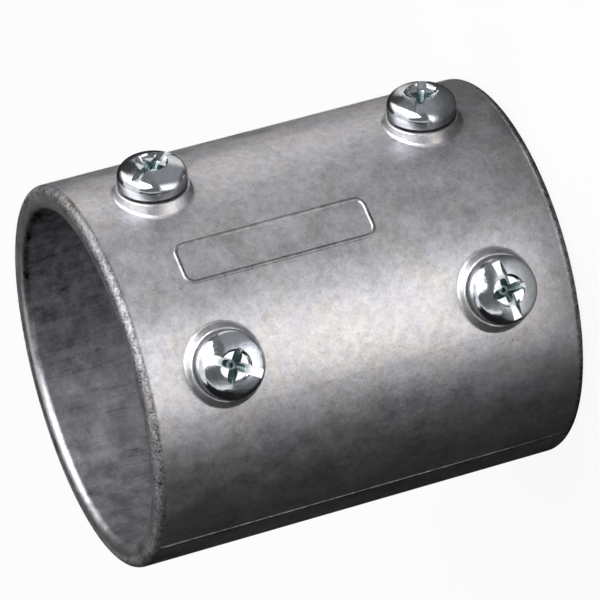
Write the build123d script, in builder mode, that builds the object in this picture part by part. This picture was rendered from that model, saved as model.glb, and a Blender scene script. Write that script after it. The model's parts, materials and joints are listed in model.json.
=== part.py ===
from build123d import *
import os
from math import cos, radians, sin, sqrt

# Set screw coupling for thin wall steel conduit of the 1 1/2 inch size: one cast sleeve and four
# clamping screws. All sizes are in millimetres. The conduit's axis is Z, the sleeve stands on its
# lower end face, and the side with the screws faces -Y.

# Sleeve
conduit_diameter = 44.2
socket_clearance = 0.55
outer_diameter = 51.4
sleeve_length = 59.9
mouth_round = 1.1
rim_round = 1.0
stop_width = 1.8
stop_height = 1.2

# Screw bosses: a low cone round each screw, with a flat seat on top
screw_spread = 60.0
screw_from_end = 11.1
boss_rise = 1.1
boss_height = 2.3
boss_seat_radius = 4.75
boss_side_angle = 20.0
boss_foot_round = 0.5
boss_edge_round = 0.25

# Clamping screws, No. 10 by 3/16 inch, with a pan head, a straight slot and a cross recess
thread_diameter = 4.83
thread_clearance = 0.05
screw_length = 4.76
tip_chamfer = 0.45
head_diameter = 9.1
head_height = 3.4
head_crown_radius = 7.8
head_shoulder_round = 1.65
slot_width = 1.2
slot_depth = 1.35
cross_width = 1.25
cross_span = 5.1
cross_floor_span = 1.3
cross_depth = 2.5

# Raised frame round the marking field, a little off the middle as on the casting
frame_length = 26.6
frame_width = 6.1
frame_corner = 1.6
frame_line = 0.6
frame_rise = 0.2
frame_above_middle = 7.4
frame_aside = 0.4

# Seam where the mould halves met
seam_width = 0.3
seam_rise = 0.08

front_azimuth = -90.0
outer_radius = outer_diameter / 2
bore_radius = (conduit_diameter + socket_clearance) / 2
middle = sleeve_length / 2
boss_seat = outer_radius + boss_rise
head_radius = head_diameter / 2
thread_radius = thread_diameter / 2

# The screws are shown run in until their tips are level with the bore, so the conduit can enter
head_seat = bore_radius + screw_length
head_top = head_seat + head_height
head_side_top = head_top - head_crown_radius + sqrt(head_crown_radius**2 - head_radius**2)

# Azimuth and height of each screw, and the turn of its slot from the sleeve's axis, in degrees
left_azimuth = front_azimuth - screw_spread / 2
right_azimuth = front_azimuth + screw_spread / 2
upper_height = sleeve_length - screw_from_end
screw_places = {
    "screw_upper_left": (left_azimuth, upper_height, -29.7),
    "screw_upper_right": (right_azimuth, upper_height, 34.2),
    "screw_lower_left": (left_azimuth, screw_from_end, -80.7),
    "screw_lower_right": (right_azimuth, screw_from_end, 62.2),
}


def outward_plane(azimuth, height, distance, turn=0.0):
    """Plane square to a radius of the sleeve: its x axis runs round the sleeve, then turns upwards."""
    outward = Vector(cos(radians(azimuth)), sin(radians(azimuth)), 0)
    round_sleeve = Vector(-sin(radians(azimuth)), cos(radians(azimuth)), 0)
    x_dir = round_sleeve * cos(radians(turn)) + Vector(0, 0, sin(radians(turn)))
    return Plane(origin=outward * distance + Vector(0, 0, height), x_dir=x_dir, z_dir=outward)


# Marking frame: a round bar laid along the sleeve, so deep that only a thin ridge stands out of the wall
frame_bar_radius = (frame_line**2 / 4 + frame_rise**2) / (2 * frame_rise)
with BuildPart() as bar_bed:
    with Locations((0, 0, middle)):
        Cylinder(outer_radius + frame_rise - frame_bar_radius, sleeve_length)
with BuildSketch(outward_plane(front_azimuth, middle + frame_above_middle, 2 * outer_radius)) as frame_outline:
    with Locations((frame_aside, 0)):
        RectangleRounded(
            frame_width - frame_line, frame_length - frame_line, frame_corner - frame_line / 2
        )
flat_path = frame_outline.sketch.wires()[0]
bar_path = flat_path.project_to_shape(bar_bed.part, Vector(0, 1, 0)).sort_by(Axis.Y)[0]
with BuildPart() as marking_frame:
    with BuildSketch(Plane(origin=bar_path @ 0, z_dir=bar_path % 0)):
        Circle(frame_bar_radius)
    sweep(path=bar_path)

with BuildPart() as coupling_body:
    # Wall and stop ring, turned about the conduit's axis
    with BuildSketch(Plane.XZ) as wall:
        with BuildLine():
            Polyline(
                (bore_radius, 0),
                (outer_radius, 0),
                (outer_radius, sleeve_length),
                (bore_radius, sleeve_length),
                (bore_radius, middle + stop_width / 2),
                (bore_radius - stop_height, middle + stop_width / 2),
                (bore_radius - stop_height, middle - stop_width / 2),
                (bore_radius, middle - stop_width / 2),
                close=True,
            )
        make_face()
        fillet(wall.vertices().group_by(Axis.X)[-1], rim_round)
        mouth_corners = wall.vertices().group_by(Axis.Y)[0] + wall.vertices().group_by(Axis.Y)[-1]
        fillet(mouth_corners.group_by(Axis.X)[0], mouth_round)
    revolve(axis=Axis.Z)

    # Bosses, each a cone that widens into the wall, with a rounded foot and seat edge
    for azimuth, height, _ in screw_places.values():
        with BuildSketch(outward_plane(azimuth, height, boss_seat)):
            Circle(boss_seat_radius)
        extrude(amount=-boss_height, taper=-boss_side_angle)
        seat_edge = edges(Select.LAST).filter_by(GeomType.CIRCLE)
        foot_edge = edges(Select.LAST).filter_by(GeomType.CIRCLE, reverse=True)
        fillet(foot_edge, boss_foot_round)
        fillet(seat_edge, boss_edge_round)

    # Screw holes, from each seat into the bore
    for azimuth, height, _ in screw_places.values():
        with BuildSketch(outward_plane(azimuth, height, boss_seat)):
            Circle(thread_radius + thread_clearance)
        extrude(amount=bore_radius - boss_seat - 1, mode=Mode.SUBTRACT)

    # Seam along both sides, and the marking frame
    with BuildSketch(Plane.XY.offset(rim_round)):
        Rectangle(2 * (outer_radius + seam_rise), seam_width)
        Circle(outer_radius - 1, mode=Mode.SUBTRACT)
    extrude(amount=sleeve_length - 2 * rim_round)
    add(marking_frame.part)

os.makedirs("parts", exist_ok=True)
coupling_body.part.label = "coupling_body"
export_step(coupling_body.part, "parts/coupling_body.step")

for name, (azimuth, height, slot_turn) in screw_places.items():
    crown = outward_plane(azimuth, height, head_top, 90 + slot_turn)
    lengthwise = Plane(origin=(0, 0, height), x_dir=crown.x_dir, z_dir=-crown.y_dir)

    with BuildPart() as screw:
        # Shank and head, turned about the screw's axis
        with BuildSketch(lengthwise) as half:
            with BuildLine():
                outline = Polyline(
                    (0, head_top),
                    (0, bore_radius),
                    (thread_radius - tip_chamfer, bore_radius),
                    (thread_radius, bore_radius + tip_chamfer),
                    (thread_radius, head_seat),
                    (head_radius, head_seat),
                    (head_radius, head_side_top),
                )
                RadiusArc(outline @ 1, outline @ 0, -head_crown_radius)
            make_face()
            fillet(half.vertices().group_by(Axis.X)[-1].sort_by(Axis.Y)[-1], head_shoulder_round)
        revolve(axis=Axis((0, 0, height), crown.z_dir))

        # Straight slot right across the head
        with BuildSketch(crown):
            Rectangle(head_diameter, slot_width)
        extrude(amount=-slot_depth, mode=Mode.SUBTRACT)

        # Cross recess: two wings that narrow towards the floor
        for wing_direction, wing_normal in ((crown.x_dir, -crown.y_dir), (crown.y_dir, crown.x_dir)):
            with BuildSketch(Plane(origin=crown.origin, x_dir=wing_direction, z_dir=wing_normal)):
                with BuildLine():
                    Polyline(
                        (-cross_span / 2, 0),
                        (cross_span / 2, 0),
                        (cross_floor_span / 2, -cross_depth),
                        (-cross_floor_span / 2, -cross_depth),
                        close=True,
                    )
                make_face()
            extrude(amount=cross_width / 2, both=True, mode=Mode.SUBTRACT)

    screw.part.label = name
    export_step(screw.part, f"parts/{name}.step")
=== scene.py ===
import json
from math import asin, cos, pi, radians, sin, sqrt, tau

import bpy
from bpy.props import FloatProperty, FloatVectorProperty, PointerProperty
from mathutils import Matrix, Vector


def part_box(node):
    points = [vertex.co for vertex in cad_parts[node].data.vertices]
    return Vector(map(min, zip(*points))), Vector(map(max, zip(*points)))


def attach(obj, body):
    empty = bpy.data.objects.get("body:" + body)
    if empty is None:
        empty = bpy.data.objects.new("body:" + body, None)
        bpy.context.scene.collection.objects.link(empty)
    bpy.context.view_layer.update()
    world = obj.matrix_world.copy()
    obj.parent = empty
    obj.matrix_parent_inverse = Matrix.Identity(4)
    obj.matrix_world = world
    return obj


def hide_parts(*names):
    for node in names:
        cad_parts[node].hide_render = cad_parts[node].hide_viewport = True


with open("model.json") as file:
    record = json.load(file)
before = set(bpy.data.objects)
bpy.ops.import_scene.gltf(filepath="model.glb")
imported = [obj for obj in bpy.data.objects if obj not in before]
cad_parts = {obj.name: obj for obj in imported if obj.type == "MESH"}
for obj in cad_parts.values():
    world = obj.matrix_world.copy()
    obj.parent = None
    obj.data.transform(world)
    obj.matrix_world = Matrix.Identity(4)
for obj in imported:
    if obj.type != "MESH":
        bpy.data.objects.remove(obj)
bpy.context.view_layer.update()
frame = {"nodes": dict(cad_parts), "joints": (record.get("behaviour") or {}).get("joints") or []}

bl_info = {
    "name": "Set Screw Conduit Coupling",
    "version": (1, 0, 0),
    "blender": (4, 5, 0),
    "location": "View3D > Sidebar > Coupling",
    "description": "Finishes the cast sleeve, models its clamping screws and sets up the studio",
    "category": "Add Mesh",
}

MM = 0.001

# Angle of each screw's slot from the sleeve's axis, seen from outside and counted anticlockwise
SLOT_TURNS = {
    "screw_upper_left": radians(-29.7),
    "screw_upper_right": radians(34.2),
    "screw_lower_left": radians(-80.7),
    "screw_lower_right": radians(62.2),
}


def colour(name, description, default):
    return FloatVectorProperty(
        name=name, description=description, default=default, subtype="COLOR", size=3, min=0.0, max=1.0
    )


def length(name, description, millimetres):
    return FloatProperty(
        name=name, description=description, default=millimetres * MM, min=0.0, unit="LENGTH", precision=5
    )


def share(name, description, default):
    return FloatProperty(
        name=name, description=description, default=default, min=0.0, max=1.0, subtype="FACTOR"
    )


def angle(name, description, in_degrees):
    return FloatProperty(name=name, description=description, default=radians(in_degrees), subtype="ANGLE")


class CastingSettings(bpy.types.PropertyGroup):
    metal: colour("Metal", "Colour of the tumbled zinc casting", (0.59, 0.585, 0.617))
    warm_patch: colour("Warm patches", "Faint yellowish patches in the casting skin", (0.616, 0.601, 0.59))
    violet_patch: colour("Violet patches", "Faint violet patches in the casting skin", (0.57, 0.563, 0.592))
    # Painted shade: the bore's colour is darker than the skin's, for the shade inside the sleeve
    bore: colour("Bore", "Colour of the casting in the bore", (0.432, 0.436, 0.462))
    roughness: share("Roughness", "How far the casting skin spreads its reflections", 0.42)
    edge_gloss: share("Edge gloss", "How much of its gloss the skin keeps where it is seen edge on", 0.12)
    rim_width: length("Rim width", "How far the coarse grain of the rims reaches from each end", 1.3)


class ScrewSettings(bpy.types.PropertyGroup):
    plate: colour("Zinc plate", "Colour of the bright zinc plating", (0.65, 0.68, 0.708))
    recess_tint: colour("Recess tint", "Greenish passivation left in the recess", (0.22, 0.29, 0.30))
    roughness: share("Roughness", "How far the plating spreads its reflections", 0.12)
    edge_gloss: share("Edge gloss", "How much of its gloss the plating keeps where it is seen edge on", 0.5)
    shank_length: length("Shank length", "From the underside of the head to the tip", 4.76)
    thread_diameter: length("Thread diameter", "Over the crests of the thread", 4.8)
    thread_pitch: length("Thread pitch", "Rise of the thread in one turn", 1.058)
    thread_depth: length("Thread depth", "From the crest of the thread to its root", 0.58)
    head_diameter: length("Head diameter", "Diameter of the pan head", 9.1)
    head_height: length("Head height", "From the underside to the top of the crown", 3.4)
    crown_radius: length("Crown radius", "Radius of the head's shallow dome", 7.8)
    shoulder_radius: length("Shoulder radius", "Rounding between the dome and the head's side", 1.65)
    foot_round: length("Foot rounding", "Rounding at the underside of the head", 0.12)
    slot_width: length("Slot width", "Width of the straight slot", 1.2)
    slot_depth: length("Slot depth", "Depth of the straight slot at the middle of the head", 1.12)
    cross_width: length("Cross width", "Width of the wings that reach out of the slot, at the crown", 1.25)
    cross_span: length("Cross span", "From tip to tip of the cross recess, at the crown", 5.1)
    cross_floor: length("Cross floor", "From tip to tip of the cross recess, at its floor", 1.3)
    cross_depth: length("Cross depth", "Depth of the cross recess below the crown", 2.35)
    dish_radius: length("Dish radius", "Radius of the shallow dish between the cross recess's wings", 2.1)
    dish_depth: length("Dish depth", "From the crown to the dish's floor", 0.72)
    point_radius: length("Point radius", "Radius at which the dish drops into the pointed middle", 0.85)
    point_depth: length("Point depth", "From the crown to the bottom of the pointed middle", 2.9)


class StudioSettings(bpy.types.PropertyGroup):
    backdrop: colour("Backdrop", "Colour of the floor and of the room behind it", (1.0, 1.0, 1.0))
    floor_glow: share("Floor glow", "How far the floor hides its shade behind the backdrop's colour", 0.9)
    reflections: FloatProperty(
        name="Reflections", description="Brightness of the lightest part of the room card",
        default=7.0, min=0.0,
    )
    lens: FloatProperty(
        name="Lens", description="Focal length on a 36 mm sensor", default=287.3, min=1.0, unit="CAMERA"
    )
    camera_place: FloatVectorProperty(
        name="Camera place", description="Where the camera stands", subtype="TRANSLATION", unit="LENGTH",
        default=(-0.23754, -0.55107, 0.22567),
    )
    camera_turn: FloatVectorProperty(
        name="Camera turn", description="How the camera is turned", subtype="EULER", unit="ROTATION",
        default=(radians(-38.648), radians(66.450), radians(-154.649)),
    )
    view_azimuth: angle("View azimuth", "Direction from the sleeve's axis to the camera", -113.55)


class Signal:
    """An output socket of a shader tree, so that shader maths reads as a formula."""

    def __init__(self, tree, socket=None):
        self.tree = tree
        self.socket = socket

    def node(self, kind, settings, sockets, output=0):
        """Add a node: its settings first, then the values or links of its sockets."""
        made = self.tree.nodes.new("ShaderNode" + kind)
        for key, value in settings.items():
            if key == "stops":
                stops = made.color_ramp.elements
                stops[1].position = 1.0
                for place, shade in value[1:-1]:
                    stops.new(place)
                for stop, (place, shade) in zip(stops, value):
                    stop.color = (*shade, 1.0)
            else:
                setattr(made, key, value)
        for key, value in sockets.items():
            if isinstance(value, Signal):
                self.tree.links.new(value.socket, made.inputs[key])
            else:
                made.inputs[key].default_value = value
        return Signal(self.tree, made.outputs[output] if made.outputs else None)

    def math(self, operation, *others):
        return self.node("Math", {"operation": operation}, dict(enumerate((self, *others))))

    def __add__(self, other):
        return self.math("ADD", other)

    def __sub__(self, other):
        return self.math("SUBTRACT", other)

    def __rsub__(self, other):
        return self.node("Math", {"operation": "SUBTRACT"}, {0: other, 1: self})

    def __mul__(self, other):
        return self.math("MULTIPLY", other)

    def __truediv__(self, other):
        return self.math("DIVIDE", other)

    __radd__ = __add__
    __rmul__ = __mul__

    def distance_from(self, other):
        return (self - other).math("ABSOLUTE")

    def swing(self, strength):
        """This noise as a swing about 0, scaled by its strength."""
        return (self - 0.5) * strength

    def between(self, low, high):
        """0 at or below low, 1 at or above high, smooth between."""
        sockets = {"Value": self, "From Min": low, "From Max": high}
        return self.node("MapRange", {"interpolation_type": "SMOOTHSTEP"}, sockets)

    def part(self, axis):
        return self.node("SeparateXYZ", {}, {0: self}, output=axis)

    def shade(self, colour_a, colour_b):
        """colour_a where this is 0 and colour_b where it is 1."""
        # The Mix node keeps its colours in the sockets 6 and 7, and gives their mixture in the output 2
        colours = {6: colour_a, 7: colour_b}
        full = {
            key: value if isinstance(value, Signal) else (*value, 1.0) for key, value in colours.items()
        }
        return self.node("Mix", {"data_type": "RGBA"}, {0: self, **full}, output=2)

    def times(self, factor):
        """This colour or place, scaled by a number or signal."""
        return self.node("VectorMath", {"operation": "SCALE"}, {0: self, "Scale": factor})

    def stretched(self, factors):
        """This place with each axis scaled by its own factor."""
        return self.node("VectorMath", {"operation": "MULTIPLY"}, {0: self, 1: factors})

    def noise(self, scale, detail=2.0, roughness=0.5, distortion=0.0):
        """Noise over this place, with scale in features a millimetre."""
        sockets = {"Scale": scale, "Detail": detail, "Roughness": roughness, "Distortion": distortion}
        return self.node("TexNoise", {}, {"Vector": self, **sockets})

    def pits(self, spacing, radius, share_of_cells):
        """1 in the middle of each of a share of cells, spacing apart, falling to 0 at the radius."""
        sockets = {"Vector": self, "Scale": 1 / spacing}
        distance = self.node("TexVoronoi", {}, sockets)
        chosen = self.node("TexVoronoi", {}, sockets, output="Color").part(0)
        inside = 1 - distance.between(0.3 * radius / spacing, radius / spacing)
        return inside * chosen.between(1 - share_of_cells, 1.01 - share_of_cells)


def new_material(name):
    material = bpy.data.materials.new(name)
    material.use_nodes = True
    material.node_tree.nodes.clear()
    return material, Signal(material.node_tree)


def in_millimetres(start):
    """The place on the piece, in millimetres in the sleeve's frame."""
    return start.node("TexCoord", {}, {}, output="Object").times(1 / MM)


def bare_metal(skin, roughness, relief, edge_gloss):
    """Finish a material as metal of the skin's colour, with its relief in millimetres."""
    bump = relief.node("Bump", {}, {"Strength": 1.0, "Distance": MM, "Height": relief})
    sockets = {
        "Base Color": skin, "Metallic": 1.0, "Roughness": roughness, "Normal": bump,
        "Specular Tint": (edge_gloss, edge_gloss, edge_gloss, 1.0),
    }
    shader = bump.node("BsdfPrincipled", {}, sockets)
    shader.node("OutputMaterial", {}, {"Surface": shader})


def cast_zinc(settings, sleeve_length, bore_radius, outer_radius):
    """Tumbled casting: mottled grey skin, sandy rims, and a cloudy bore with lines drawn by the core."""
    material, start = new_material("cast_zinc")
    place = in_millimetres(start)
    x, y, z = (place.part(axis) for axis in range(3))
    radius = (x * x + y * y).math("SQRT")
    from_bore = radius - bore_radius
    from_wall = radius - outer_radius
    from_end = z.math("MINIMUM", sleeve_length - z)
    rim = settings.rim_width / MM
    in_bore = 1 - from_bore.between(0.1, 0.6)
    at_end = 1 - from_end.between(0.6 * rim, rim)
    sandy = at_end * from_bore.between(1.5, 2.2)
    on_seam = (1 - y.distance_from(0.0).between(0.12, 0.24)) * from_wall.between(-0.025, 0.075)
    on_frame = (1 - x.distance_from(0.0).between(5.0, 5.5)) * from_wall.between(0.015, 0.095)

    waves = place.noise(0.11, 1.0)
    patches = place.noise(0.3, 4.0, 0.62)
    mottle = place.noise(0.95, 4.0, 0.68)
    grain = place.noise(4.2, 2.0, 0.65)
    specks = place.noise(2.1, 3.0, 0.7).between(0.56, 0.7)
    sand = place.noise(3.0, 3.0, 0.75)
    clouds = place.noise(0.5, 5.0, 0.62)
    drawn = place.stretched((1.0, 1.0, 0.05)).noise(0.7, 3.0, 0.5, 0.4)
    drawn_lines = 1 - drawn.distance_from(0.5).between(0.004, 0.016)
    hairlines = 1 - place.noise(0.8, 3.0, 0.5, 1.2).distance_from(0.5).between(0.002, 0.012)
    hairlines = hairlines * place.noise(0.35).between(0.5, 0.58)
    pits = place.pits(2.6, 0.16, 0.4)

    warm = place.noise(0.16, 4.0, 0.6).between(0.45, 0.62)
    violet = place.noise(0.3, 4.0, 0.65).between(0.46, 0.62)
    metal = warm.shade(settings.metal, settings.warm_patch)
    metal = violet.shade(metal, settings.violet_patch)
    # Painted shade: the bore takes its own darker colour, for the shade inside the sleeve
    metal = in_bore.shade(metal, settings.bore)
    light = 1.03 + patches.swing(0.6) + mottle.swing(0.84) + grain.swing(0.68) - specks * 0.26
    # Painted shade: the pits are darkened, for the shade inside them
    light = light - pits * 0.5 + hairlines * 0.1
    # Painted shade: the parting line's ridge is darkened, in broken stretches set by the mottle, and so are
    # the marking frame's raised lines, so that these thin ridges catch less light
    light = light - on_seam * (0.78 - 0.25 * mottle.between(0.5, 0.56)) - on_frame * 0.5
    light = light + in_bore * (clouds.swing(1.3) + drawn.swing(0.4) - drawn_lines * 0.22)
    # Painted shade: the bore is darker on its right side, as the screws are looked at, for the shade that
    # falls there
    shaded_side_of_bore = (x * 0.92 - y * 0.4).between(-4.0, 20.0)
    light = light + in_bore * (0.2 - 0.65 * shaded_side_of_bore)
    # Painted shade: both ends are darkened within the rim width, for the shade at their rounded edges, and
    # the outer half of each rim is darker still, where its real sandy grain is
    light = light - at_end * 0.24 + sandy * (sand.swing(1.9) - 0.34)

    relief = waves * 0.2 + mottle * 0.03 + grain * 0.012 - pits * 0.02
    relief = relief + sandy * sand * 0.12 - in_bore * drawn_lines * 0.01
    roughness = settings.roughness + patches.swing(0.25) + grain.swing(0.15) + sandy * 0.12
    bare_metal(metal.times(light), roughness, relief, settings.edge_gloss)
    return material


def zinc_plate(settings):
    """Bright zinc plating, with a dull greenish recess and faint tumbling marks."""
    material, start = new_material("zinc_plate")
    place = in_millimetres(start)
    profile = start.node("UVMap", {"uv_map": "profile"}, {})
    radius, height = profile.part(0), profile.part(1)
    crown_radius = settings.crown_radius / MM
    crown_centre = (settings.head_height - settings.crown_radius) / MM
    depth = crown_centre + (crown_radius**2 - radius * radius).math("SQRT") - height
    in_recess = depth.between(0.5, 1.3) * (1 - radius.between(2.0, 2.6)) * height.between(0.0, 0.1)
    # Painted shade: the side of the head is darkened by half, where it would mirror the bright floor; it is
    # also rougher
    on_side = radius.between(4.1, 4.4) * (1 - height.between(0.6, 1.5))

    streaks = place.noise(1.4, 4.0, 0.6)
    marks = place.noise(6.0, 3.0, 0.7)
    pitted = in_recess * (marks - 0.5)
    metal = in_recess.shade(settings.plate, settings.recess_tint)
    light = 1.0 + streaks.swing(0.4) + pitted * 2.0 - on_side * 0.5
    relief = streaks * 0.025 + marks * 0.003 + pitted * 0.08
    roughness = settings.roughness + streaks.swing(0.12) + in_recess * 0.2 + on_side * 0.12
    bare_metal(metal.times(light), roughness, relief, settings.edge_gloss)
    return material


def shows_backdrop(start):
    """1 for the rays that show the backdrop: straight ones, and those in gloss or through glass."""
    outputs = ("Is Camera Ray", "Is Glossy Ray", "Is Transmission Ray")
    camera, glossy, transmission = (start.node("LightPath", {}, {}, output=output) for output in outputs)
    return camera.math("MAXIMUM", glossy).math("MAXIMUM", transmission)


class CastingOperator(bpy.types.Operator):
    """Give the cast sleeve its tumbled zinc skin"""

    bl_idname = "coupling.casting"
    bl_label = "Finish the cast sleeve"

    def execute(self, context):
        body = frame["nodes"]["coupling_body"]
        low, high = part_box("coupling_body")
        # The bore is measured near the upper end, because the stop ring at mid length is narrower
        upper_corners = (vertex.co for vertex in body.data.vertices if vertex.co.z > 0.8 * high.z)
        bore_radius = min(corner.xy.length for corner in upper_corners)
        body.material_slots[0].material = cast_zinc(
            context.scene.coupling_casting, (high.z - low.z) / MM, bore_radius / MM, high.y / MM
        )
        return {"FINISHED"}


def deselect_all():
    if bpy.context.object and bpy.context.object.mode != "OBJECT":
        bpy.ops.object.mode_set(mode="OBJECT")
    bpy.ops.object.select_all(action="DESELECT")


def turned(name, outline, segments=96):
    """A surface turned about Z from its outline of (radius, height) pairs, from the bottom to the top."""
    deselect_all()
    radius, height = outline[0]
    bpy.ops.mesh.primitive_circle_add(vertices=segments, radius=radius, location=(0, 0, height))
    piece = bpy.context.object
    piece.name = name
    bpy.ops.object.transform_apply()
    bpy.ops.object.mode_set(mode="EDIT")
    bpy.ops.mesh.select_all(action="SELECT")
    for next_radius, next_height in outline[1:]:
        bpy.ops.mesh.extrude_edges_move(TRANSFORM_OT_translate={"value": (0, 0, next_height - height)})
        ratio = next_radius / radius
        bpy.ops.transform.resize(value=(ratio, ratio, 1), center_override=(0, 0, next_height))
        radius, height = next_radius, next_height
    bpy.ops.object.mode_set(mode="OBJECT")
    return piece


def close_ends(piece):
    """Cap the open ends, so that the piece becomes a solid."""
    bpy.ops.object.mode_set(mode="EDIT")
    bpy.ops.mesh.select_all(action="SELECT")
    bpy.ops.mesh.fill_holes(sides=0)
    bpy.ops.mesh.select_all(action="SELECT")
    bpy.ops.mesh.normals_make_consistent(inside=False)
    bpy.ops.object.mode_set(mode="OBJECT")
    return piece


def put_in_order():
    """Sort the corners, edges and faces of the active piece by their distance from one place beside it."""
    cursor = bpy.context.scene.cursor
    # This place is off the screw's planes of symmetry, so that its distances to the corners differ
    cursor.location = (0.011, 0.023, 0.037)
    bpy.ops.object.mode_set(mode="EDIT")
    bpy.ops.mesh.select_all(action="SELECT")
    bpy.ops.mesh.sort_elements(type="CURSOR_DISTANCE", elements={"VERT", "EDGE", "FACE"})
    bpy.ops.object.mode_set(mode="OBJECT")
    # The cursor goes back, because new pieces are added at it
    cursor.location = (0, 0, 0)


def combine(piece, tool, operation):
    """Cut the tool from the piece, join it on or keep what both fill, and remove the tool."""
    modifier = piece.modifiers.new(operation.title(), "BOOLEAN")
    modifier.operation = operation
    modifier.solver = "EXACT"
    modifier.object = tool
    deselect_all()
    bpy.context.view_layer.objects.active = piece
    bpy.ops.object.modifier_apply(modifier=modifier.name)
    bpy.data.objects.remove(tool)
    # The corners can come out in another order on each run, which would change what the next cut leaves
    put_in_order()


def edit_chosen(piece, kind, chosen):
    """Open the piece for editing with just the chosen edges or faces selected."""
    bpy.context.view_layer.objects.active = piece
    bpy.ops.object.mode_set(mode="EDIT")
    bpy.ops.mesh.select_mode(type=kind)
    bpy.ops.mesh.select_all(action="DESELECT")
    bpy.ops.object.mode_set(mode="OBJECT")
    elements = piece.data.edges if kind == "EDGE" else piece.data.polygons
    for element in elements:
        element.select = chosen(element)
    bpy.ops.object.mode_set(mode="EDIT")


def tapered_block(name, width, breadth, top_scale, bottom, top):
    """A block that is width by breadth at the height bottom, and scaled by top_scale at the height top."""
    deselect_all()
    bpy.ops.mesh.primitive_cube_add(
        size=1, location=(0, 0, (bottom + top) / 2), scale=(width, breadth, top - bottom)
    )
    piece = bpy.context.object
    piece.name = name
    bpy.ops.object.transform_apply()
    edit_chosen(piece, "FACE", lambda face: face.normal.z > 0.5)
    bpy.ops.transform.resize(value=(*top_scale, 1), center_override=(0, 0, top))
    bpy.ops.object.mode_set(mode="OBJECT")
    return piece


def round_upright_edges(piece, radius):
    """Round the edges that run up the piece."""
    corners = piece.data.vertices
    edit_chosen(
        piece, "EDGE", lambda edge: corners[edge.vertices[0]].co.z != corners[edge.vertices[1]].co.z
    )
    bpy.ops.mesh.bevel(offset=radius, segments=6)
    bpy.ops.object.mode_set(mode="OBJECT")


def head_outline(settings):
    """Crown and side of the pan head, from its underside to the middle of the crown."""
    half = settings.head_diameter / 2
    crown, shoulder = settings.crown_radius, settings.shoulder_radius
    crown_centre = settings.head_height - crown
    shoulder_place = half - shoulder
    shoulder_height = crown_centre + sqrt((crown - shoulder) ** 2 - shoulder_place**2)
    crown_end = asin(shoulder_place / (crown - shoulder))
    foot = settings.foot_round
    points = [(half - foot, 0.0), (half - 0.3 * foot, 0.3 * foot), (half, foot)]
    shoulder_steps, crown_steps = 11, 14
    for step in range(shoulder_steps + 1):
        turn = pi / 2 + (crown_end - pi / 2) * step / shoulder_steps
        points.append((shoulder_place + shoulder * sin(turn), shoulder_height + shoulder * cos(turn)))
    for step in range(1, crown_steps):
        turn = crown_end * (1 - step / crown_steps)
        points.append((crown * sin(turn), crown_centre + crown * cos(turn)))
    return points


def chain(name, points):
    """Edges through the points, from one to the next."""
    deselect_all()
    bpy.ops.mesh.primitive_circle_add(vertices=3, radius=MM)
    piece = bpy.context.object
    piece.name = name
    bpy.ops.object.mode_set(mode="EDIT")
    bpy.ops.mesh.select_all(action="SELECT")
    bpy.ops.mesh.merge(type="CENTER")
    bpy.ops.transform.translate(value=points[0])
    for point, following in zip(points, points[1:]):
        step = Vector(following) - Vector(point)
        bpy.ops.mesh.extrude_vertices_move(TRANSFORM_OT_translate={"value": step})
    bpy.ops.object.mode_set(mode="OBJECT")
    return piece


def threaded_shank(settings):
    """A rolled thread with a chamfered tip, which runs up into the head."""
    crest, pitch = settings.thread_diameter / 2, settings.thread_pitch
    root = crest - settings.thread_depth
    tip, into_head = -settings.shank_length, 0.3 * MM
    same_place = 0.002 * MM

    # The thread is wound past both ends of the shank. Its outline is in (radius, share of the pitch)
    spare_turns = 2
    bottom = tip - spare_turns * pitch
    turn_outline = ((root, 0.0), (root, 0.16), (crest, 0.46), (crest, 0.62), (root, 1.0))
    thread = chain("thread", [(radius, 0, bottom + rise * pitch) for radius, rise in turn_outline])
    screw = thread.modifiers.new("Thread", "SCREW")
    screw.axis = "Z"
    screw.screw_offset = pitch
    screw.iterations = int((into_head - tip) / pitch) + 2 * spare_turns
    screw.steps = screw.render_steps = 40
    screw.use_merge_vertices = True
    screw.merge_threshold = same_place
    bpy.ops.object.modifier_apply(modifier=screw.name)

    # Its turns are joined into one surface, and its open ends are filled
    bpy.ops.object.mode_set(mode="EDIT")
    bpy.ops.mesh.select_all(action="SELECT")
    bpy.ops.mesh.remove_doubles(threshold=same_place)
    bpy.ops.mesh.select_mode(type="VERT")
    bpy.ops.mesh.select_all(action="DESELECT")
    bpy.ops.mesh.select_non_manifold()
    bpy.ops.mesh.fill()
    bpy.ops.mesh.select_all(action="SELECT")
    bpy.ops.mesh.normals_make_consistent(inside=False)
    bpy.ops.object.mode_set(mode="OBJECT")

    # The envelope trims it to the shank's length and chamfers its tip
    chamfer = 0.9 * settings.thread_depth
    over_crest = crest + 0.01 * MM
    outline = ((crest - chamfer, tip), (over_crest, tip + chamfer), (over_crest, into_head))
    combine(thread, close_ends(turned("envelope", outline, segments=64)), "INTERSECT")
    return thread


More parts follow.
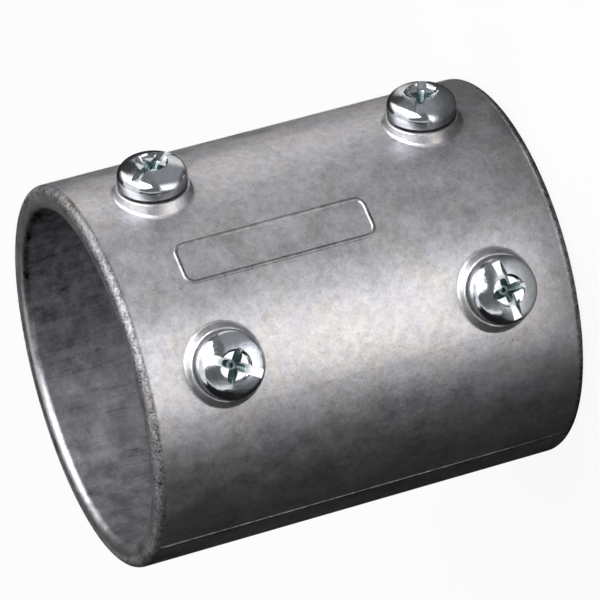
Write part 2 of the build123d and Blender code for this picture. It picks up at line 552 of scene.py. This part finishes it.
def clamping_screw(settings):
    """The screw with its axis along Z and the underside of its head at the height 0."""
    head = close_ends(turned("clamping_screw", head_outline(settings)))
    combine(head, threaded_shank(settings), "UNION")
    height = settings.head_height

    # Straight slot right across the head, a little wider at the crown than at its floor
    slot_length = settings.head_diameter + 2 * MM
    slot = tapered_block(
        "slot", settings.slot_width, slot_length, (1.04, 1), height - settings.slot_depth, height + MM
    )
    combine(head, slot, "DIFFERENCE")

    # Cross recess. The wings that lie in the slot are narrower, so that a ledge of the slot's floor is left
    # beside them
    above = 0.5 * MM
    flare = (settings.cross_span - settings.cross_floor) / settings.cross_depth
    widest = settings.cross_span + flare * above
    wing_scale = (1 / 0.82, widest / settings.cross_floor)
    in_slot, beside_slot = 0.64 * settings.cross_width, 0.85 * settings.cross_width
    for turn, width in ((0, in_slot), (pi / 2, beside_slot)):
        wing = tapered_block(
            "wing", width, settings.cross_floor, wing_scale, height - settings.cross_depth, height + above
        )
        round_upright_edges(wing, radius=0.44 * width)
        wing.data.transform(Matrix.Rotation(turn, 4, "Z"))
        combine(head, wing, "DIFFERENCE")

    # Shallow dish between the wings, with the pointed middle below it
    dish, point = settings.dish_radius, settings.point_radius
    outline = (
        (0.15 * point, settings.point_depth), (point, 1.1 * settings.dish_depth),
        (0.86 * dish, settings.dish_depth), (0.96 * dish, 0.8 * settings.dish_depth),
        (1.04 * dish, 0.3 * settings.dish_depth), (1.1 * dish, -above),
    )
    bowl = turned("bowl", [(radius, height - depth) for radius, depth in outline])
    combine(head, close_ends(bowl), "DIFFERENCE")

    head.select_set(True)
    bpy.context.view_layer.objects.active = head
    bpy.ops.object.mode_set(mode="EDIT")
    bpy.ops.mesh.select_all(action="SELECT")
    bpy.ops.mesh.remove_doubles(threshold=0.01 * MM)
    bpy.ops.mesh.delete_loose()
    bpy.ops.object.mode_set(mode="OBJECT")
    bpy.ops.object.shade_smooth_by_angle(angle=radians(30))
    return head


def keep_profile(piece):
    """Store each corner's distance from the screw's axis and its height, in millimetres, as a UV map."""
    layer = piece.data.uv_layers.new(name="profile")
    for loop in piece.data.loops:
        place = piece.data.vertices[loop.vertex_index].co
        layer.uv[loop.index].vector = (place.xy.length / MM, place.z / MM)


class ScrewsOperator(bpy.types.Operator):
    """Model one clamping screw with its thread and recess, and set a copy in each boss"""

    bl_idname = "coupling.screws"
    bl_label = "Fit the clamping screws"

    def execute(self, context):
        settings = context.scene.coupling_screws
        pattern = clamping_screw(settings)
        keep_profile(pattern)
        pattern.data.materials.clear()
        pattern.data.materials.append(zinc_plate(settings))
        for joint in frame["joints"]:
            body = joint["child"]
            axis = Vector(joint["axis"]).normalized()
            node_name = body.replace("clamp_", "")
            node = frame["nodes"][node_name]
            low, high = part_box(node_name)
            tip = min(vertex.co.dot(axis) for vertex in node.data.vertices)
            round_sleeve = Vector((0, 0, 1)).cross(axis)
            turn = SLOT_TURNS[node_name]
            slot_line = Vector((0, 0, cos(turn))) - sin(turn) * round_sleeve
            place = Matrix((axis.cross(-slot_line), slot_line, axis)).transposed().to_4x4()
            place.translation = axis * (tip + settings.shank_length)
            place.translation.z = (low.z + high.z) / 2
            screw = pattern.copy()
            screw.data = pattern.data.copy()
            screw.name = "clamping_" + node_name
            context.collection.objects.link(screw)
            screw.data.transform(place)
            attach(screw, body)
            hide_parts(node_name)
        bpy.data.objects.remove(pattern)
        return {"FINISHED"}


def lamp(name, settings, azimuth, elevation, distance, size, brightness):
    """A square softbox that lights the floor; azimuth is counted from the camera's side."""
    turn = settings.view_azimuth + azimuth
    towards = Vector((cos(turn) * cos(elevation), sin(turn) * cos(elevation), sin(elevation)))
    bpy.ops.object.light_add(type="AREA", location=towards * distance)
    made = bpy.context.object
    made.name = name
    made.rotation_euler = towards.to_track_quat("Z", "Y").to_euler()
    made.data.shape = "SQUARE"
    made.data.size = size
    made.data.energy = brightness * pi * size * size
    made.visible_camera = made.visible_glossy = False


# Tints of the room card
WARM = (1.0, 0.975, 0.95)
PLAIN = (1.0, 1.0, 1.0)
COOL = (0.94, 0.945, 1.01)

# Rows of the room card. Each has the two places on the card, in millimetres out from the axis and then up,
# between which the row before it changes into this one, and its shades as (direction from the camera's side
# in degrees, shade, tint)
ROOM_CARD_ROWS = (
    (0, 1, [
        (-180, 0.002, PLAIN), (-45, 0.004, PLAIN), (-28, 0.04, PLAIN), (8, 0.04, PLAIN), (28, 0.016, PLAIN),
        (90, 0.012, PLAIN), (150, 0.008, PLAIN), (180, 0.002, PLAIN),
    ]),
    (27, 62, [
        (-180, 0.002, PLAIN), (-62, 0.003, PLAIN), (-46, 0.03, COOL), (-35, 0.06, COOL), (-27, 0.25, WARM),
        (2, 0.25, WARM), (11, 0.16, COOL), (20, 0.055, COOL), (40, 0.046, COOL), (80, 0.048, COOL),
        (92, 0.15, WARM), (118, 0.15, WARM), (131, 0.012, PLAIN), (160, 0.004, PLAIN), (180, 0.002, PLAIN),
    ]),
    (500, 540, [
        (-180, 0.002, PLAIN), (-49.5, 0.002, PLAIN), (-49, 0.2, PLAIN), (-45, 0.2, PLAIN),
        (-44.5, 0.07, PLAIN), (-28, 0.022, PLAIN), (16, 0.022, PLAIN), (60, 0.03, PLAIN), (90, 0.03, PLAIN),
        (100, 0.01, PLAIN), (180, 0.002, PLAIN),
    ]),
    (700, 750, [
        (-180, 0.002, PLAIN), (-49.5, 0.002, PLAIN), (-49, 0.2, PLAIN), (-45, 0.2, PLAIN),
        (-44.5, 0.06, PLAIN), (-30, 0.02, PLAIN), (0, 0.02, PLAIN), (5, 1.0, PLAIN), (80, 1.0, PLAIN),
        (88, 0.22, PLAIN), (120, 0.22, PLAIN), (136, 0.01, PLAIN), (180, 0.002, PLAIN),
    ]),
)


def room_card(settings):
    """Card laid under the sleeve and up round the room that glows with the studio's lights and dark
    surroundings, seen only in the metal's gloss.
    """
    above_floor, card_radius, card_height = 0.3 * MM, 0.5, 0.9
    outline = ((MM, above_floor), (card_radius, above_floor), (card_radius, card_height))
    card = turned("room_card", outline)
    material, start = new_material("room_card")
    place = in_millimetres(start)
    x, y, z = (place.part(axis) for axis in range(3))
    out_and_up = z + (x * x + y * y).math("SQRT")
    from_camera = (y.math("ARCTAN2", x) - settings.view_azimuth) / tau + 0.5
    direction = from_camera.math("FRACT")
    shade = None
    for low, high, row in ROOM_CARD_ROWS:
        stops = [
            ((turn + 180) / 360, [brightness * channel for channel in tint])
            for turn, brightness, tint in row
        ]
        shades = direction.node("ValToRGB", {"stops": stops}, {"Fac": direction})
        shade = out_and_up.between(low, high).shade(shade, shades) if shade else shades
    glow = shade.node("Emission", {}, {"Color": shade, "Strength": settings.reflections})
    glow.node("OutputMaterial", {}, {"Surface": glow})
    card.data.materials.append(material)
    card.visible_camera = card.visible_diffuse = card.visible_shadow = False
    card.visible_transmission = card.visible_volume_scatter = False


class StudioOperator(bpy.types.Operator):
    """Lay the floor, light the coupling and set up the camera"""

    bl_idname = "coupling.studio"
    bl_label = "Set up the studio"

    def execute(self, context):
        scene = context.scene
        settings = scene.coupling_studio

        bpy.ops.mesh.primitive_plane_add(size=8.0)
        floor = context.object
        floor.name = "floor"
        material, start = new_material("floor")
        lit = start.node("BsdfDiffuse", {}, {"Color": (0.9, 0.9, 0.9, 1.0)})
        glow = start.node("Emission", {}, {"Color": (*settings.backdrop, 1.0), "Strength": 1.0})
        seen = shows_backdrop(start) * settings.floor_glow
        mixed = start.node("MixShader", {}, {0: seen, 1: lit, 2: glow})
        mixed.node("OutputMaterial", {}, {"Surface": mixed})
        floor.data.materials.append(material)

        world = bpy.data.worlds.new("room")
        world.use_nodes = True
        world.node_tree.nodes.clear()
        start = Signal(world.node_tree)
        fill = start.node("Background", {}, {"Color": (1, 1, 1, 1), "Strength": 0.6})
        room = start.node("Background", {}, {"Color": (*settings.backdrop, 1.0), "Strength": 1.0})
        mixed = start.node("MixShader", {}, {0: shows_backdrop(start), 1: fill, 2: room})
        mixed.node("OutputWorld", {}, {"Surface": mixed})
        scene.world = world

        room_card(settings)
        lamp(
            "softbox_front", settings, azimuth=radians(42), elevation=radians(40),
            distance=0.8, size=0.6, brightness=1.5,
        )
        lamp(
            "softbox_back", settings, azimuth=radians(122), elevation=radians(45),
            distance=0.8, size=0.5, brightness=1.5,
        )

        bpy.ops.object.camera_add(location=settings.camera_place, rotation=settings.camera_turn)
        camera = context.object
        camera.data.sensor_width = 36.0
        camera.data.lens = settings.lens
        camera.data.clip_start = 0.01
        camera.data.clip_end = 50.0
        scene.camera = camera
        scene.view_settings.view_transform = "Standard"
        return {"FINISHED"}


# Each step's settings, by their name in the scene, and its operator, in the order in which the steps run
STEPS = (
    ("coupling_casting", CastingSettings, CastingOperator),
    ("coupling_screws", ScrewSettings, ScrewsOperator),
    ("coupling_studio", StudioSettings, StudioOperator),
)


class CouplingPanel(bpy.types.Panel):
    """Settings and steps of the conduit coupling"""

    bl_idname = "COUPLING_PT_sidebar"
    bl_label = "Conduit coupling"
    bl_space_type = "VIEW_3D"
    bl_region_type = "UI"
    bl_category = "Coupling"

    def draw(self, context):
        for name, _, operator in STEPS:
            box = self.layout.box()
            settings = getattr(context.scene, name)
            for key in settings.bl_rna.properties.keys():
                if key not in ("rna_type", "name"):
                    box.prop(settings, key)
            box.operator(operator.bl_idname)


def register():
    for name, group, operator in STEPS:
        bpy.utils.register_class(group)
        bpy.utils.register_class(operator)
        setattr(bpy.types.Scene, name, PointerProperty(type=group))
    bpy.utils.register_class(CouplingPanel)


def unregister():
    bpy.utils.unregister_class(CouplingPanel)
    for name, group, operator in reversed(STEPS):
        delattr(bpy.types.Scene, name)
        bpy.utils.unregister_class(operator)
        bpy.utils.unregister_class(group)


def main():
    register()
    bpy.ops.coupling.casting()
    bpy.ops.coupling.screws()
    bpy.ops.coupling.studio()


if __name__ == "__main__":
    main()
